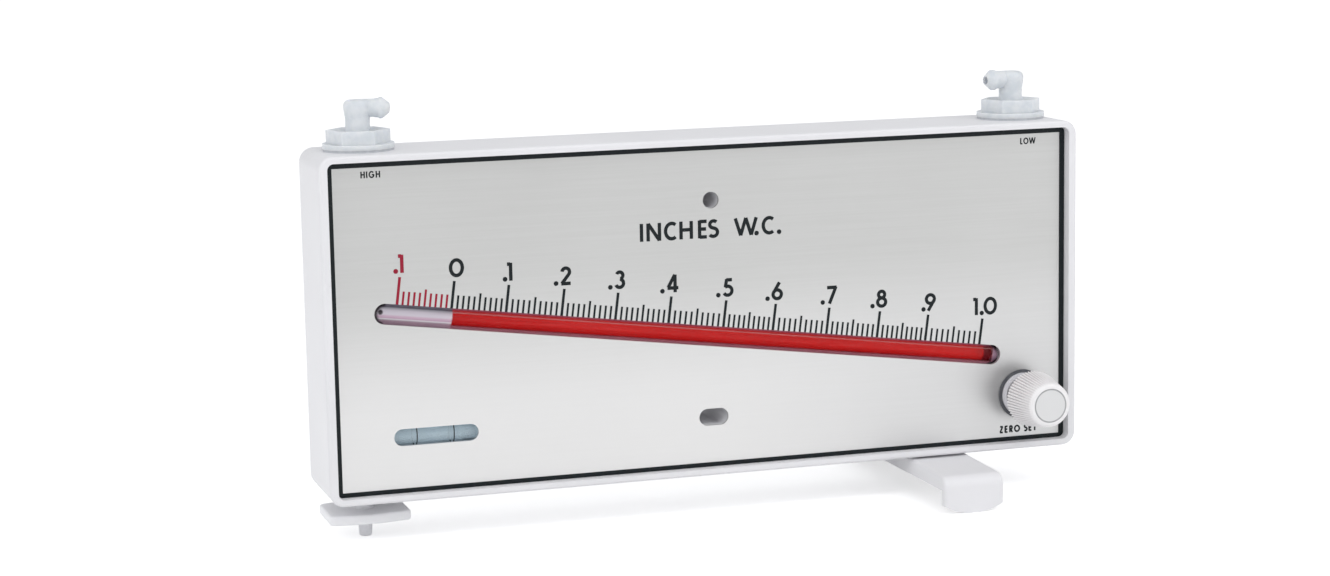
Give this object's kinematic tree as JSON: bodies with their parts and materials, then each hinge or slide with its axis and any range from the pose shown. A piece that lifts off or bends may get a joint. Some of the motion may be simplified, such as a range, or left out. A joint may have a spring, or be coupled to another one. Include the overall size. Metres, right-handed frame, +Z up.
{
  "type": "inclined-tube manometer",
  "caption": "Plastic inclined-tube manometer on a stand: white case, printed scale plate, sloping tube with red oil, spirit level, zero knob, barbed swivel elbows, levelling screw and foot.",
  "frame": {"origin": "on the table, under the middle of the case in width and depth", "axes": "+X to the right along the case as its reader sees it, +Y away from the reader, +Z up"},
  "size_m": [0.2472, 0.0856, 0.1357],
  "materials": {
    "white_housing": "moulded, satin",
    "plate_silver": "fine brushed, printed",
    "clear_acrylic": "clear, polished",
    "red_oil": "clear red liquid",
    "level_liquid": "clear tinted liquid",
    "natural_nylon": "translucent, satin",
    "white_nylon": "satin",
    "grey_tip": "satin",
    "black_rubber": "matt",
    "grey_rubber": "matt",
    "block_acrylic": "machined, satin",
    "zinc_steel": "zinc plated",
    "white_knob": "moulded, satin"
  },
  "bodies": {
    "housing": {"case_shell": "white_housing", "back_cover": "white_housing", "cover_screws": "zinc_steel", "scale_plate": "plate_silver", "indicating_tube": "clear_acrylic", "tube_seal_upper": "black_rubber", "tube_seal_lower": "black_rubber", "tube_oil": "red_oil", "tube_clips": "white_nylon", "high_port_block": "block_acrylic", "well_block": "block_acrylic", "well_cap": "block_acrylic", "well_oil": "red_oil", "vial": "clear_acrylic", "vial_liquid": "level_liquid", "vial_plug": "black_rubber", "vial_saddle": "white_nylon", "zero_ring": "black_rubber", "high_gasket": "grey_rubber", "high_bushing": "natural_nylon", "low_gasket": "grey_rubber", "low_bushing": "natural_nylon", "levelling_bush": "white_nylon", "right_foot": "white_housing", "foot_screws": "zinc_steel"},
    "plunger_seal": {"plunger_ring": "black_rubber"},
    "zero_knob": {"knob": "white_knob", "knob_cap": "white_knob", "plunger": "white_nylon"},
    "levelling_foot": {"levelling_tip": "grey_tip"},
    "levelling_thumbscrew": {"levelling_screw": "white_nylon"},
    "high_swivel": {"high_elbow": "natural_nylon", "high_elbow_ring": "black_rubber"},
    "low_swivel": {"low_elbow": "natural_nylon", "low_elbow_ring": "black_rubber"}
  },
  "joints": [
    {"name": "zero_set_travel", "type": "slide", "parent": "housing", "child": "plunger_seal", "axis": [0, 1, 0], "range_m": [-0.003, 0.003]},
    {"name": "zero_set_turn", "type": "hinge", "parent": "plunger_seal", "child": "zero_knob", "pos_m": [0.10588, -0.022, 0.03067], "axis": [0, 1, 0], "range_deg": [-715, 715]},
    {"name": "levelling_travel", "type": "slide", "parent": "housing", "child": "levelling_foot", "axis": [0, 0, 1], "range_m": [-0.0025, 0.0025]},
    {"name": "levelling_turn", "type": "hinge", "parent": "levelling_foot", "child": "levelling_thumbscrew", "pos_m": [-0.1098, 0, 0.008], "axis": [0, 0, 1], "range_deg": [-895, 895]},
    {"name": "high_elbow_swivel", "type": "hinge", "parent": "housing", "child": "high_swivel", "pos_m": [-0.1079, 0, 0.1258], "axis": [0, 0, 1], "continuous": true},
    {"name": "low_elbow_swivel", "type": "hinge", "parent": "housing", "child": "low_swivel", "pos_m": [0.1079, 0, 0.1258], "axis": [0, 0, 1], "continuous": true}
  ],
  "couplings": [
    {"joint": "zero_set_travel", "follows": "zero_set_turn", "m_per_rad": 0.00023873},
    {"joint": "levelling_travel", "follows": "levelling_turn", "m_per_rad": 0.00015915}
  ]
}
